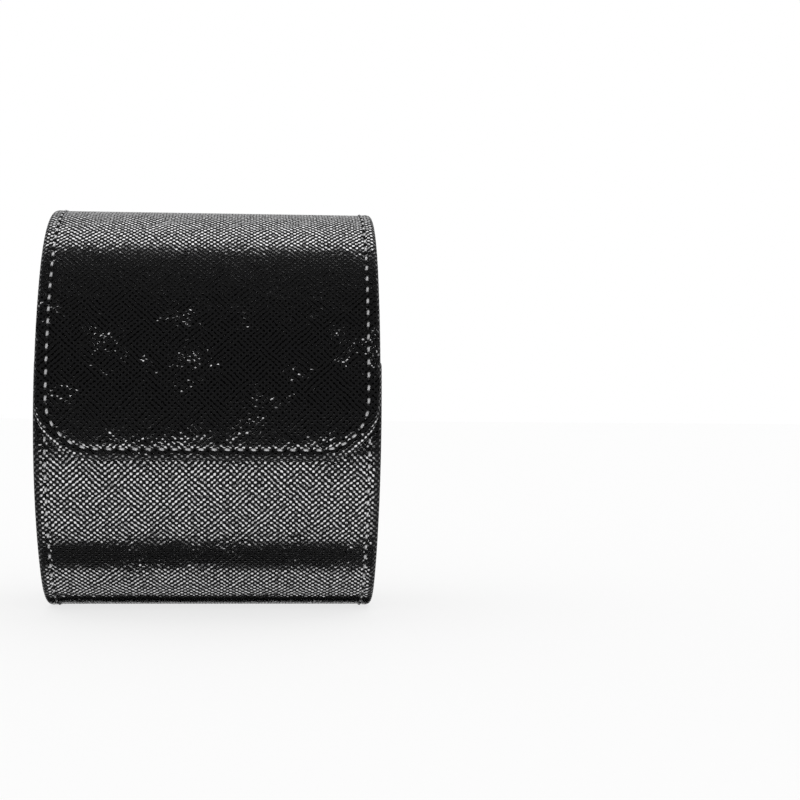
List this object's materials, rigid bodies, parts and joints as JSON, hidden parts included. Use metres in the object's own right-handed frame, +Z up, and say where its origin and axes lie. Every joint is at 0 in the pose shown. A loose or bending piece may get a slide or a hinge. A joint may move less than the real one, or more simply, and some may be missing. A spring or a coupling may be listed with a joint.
{
  "type": "watch travel case",
  "caption": "Stiff oval roll in grained leather that holds a wristwatch on a removable cushion, with a snap-down flap over the front.",
  "frame": {"origin": "centre of the flat that the case stands on, at the level of the surface under it", "axes": "+X across the width, -Y towards the flap's front, +Z up"},
  "size_m": [0.08, 0.0755, 0.0984],
  "materials": {
    "grained_leather": "cross-hatched grain with a semi-gloss lacquer",
    "suede_lining": "short matte nap",
    "greyboard": "plain pressed board",
    "nickel": "polished nickel plate",
    "foam": "open foam",
    "piping_leather": "smooth semi-gloss"
  },
  "bodies": {
    "case": {"body_leather": "grained_leather", "body_board": "greyboard", "body_lining": "suede_lining", "left_cheek_leather": "grained_leather", "right_cheek_leather": "grained_leather", "left_cheek_board": "greyboard", "right_cheek_board": "greyboard", "left_cheek_lining": "suede_lining", "right_cheek_lining": "suede_lining", "snap_studs": "nickel", "snap_rivets": "nickel", "hinge_leather": "grained_leather", "hinge_lining": "suede_lining"},
    "flap": {"flap_leather": "grained_leather", "flap_board": "greyboard", "flap_lining": "suede_lining", "snap_caps": "nickel", "snap_sockets": "nickel", "snap_springs": "nickel"},
    "cushion": {"cushion_cover": "suede_lining", "cushion_foam": "foam", "left_cushion_end": "suede_lining", "right_cushion_end": "suede_lining", "left_cushion_piping": "piping_leather", "right_cushion_piping": "piping_leather"}
  },
  "joints": [
    {"name": "flap_hinge", "type": "hinge", "parent": "case", "child": "flap", "pos_m": [0, 0.01418, 0.09444], "axis": [-1, 0, 0], "range_deg": [0, 170], "deforming": ["hinge_leather", "hinge_lining"]},
    {"name": "cushion_lift", "type": "slide", "parent": "case", "child": "cushion", "axis": [0, 0, 1], "range_m": [0, 0.022]}
  ]
}
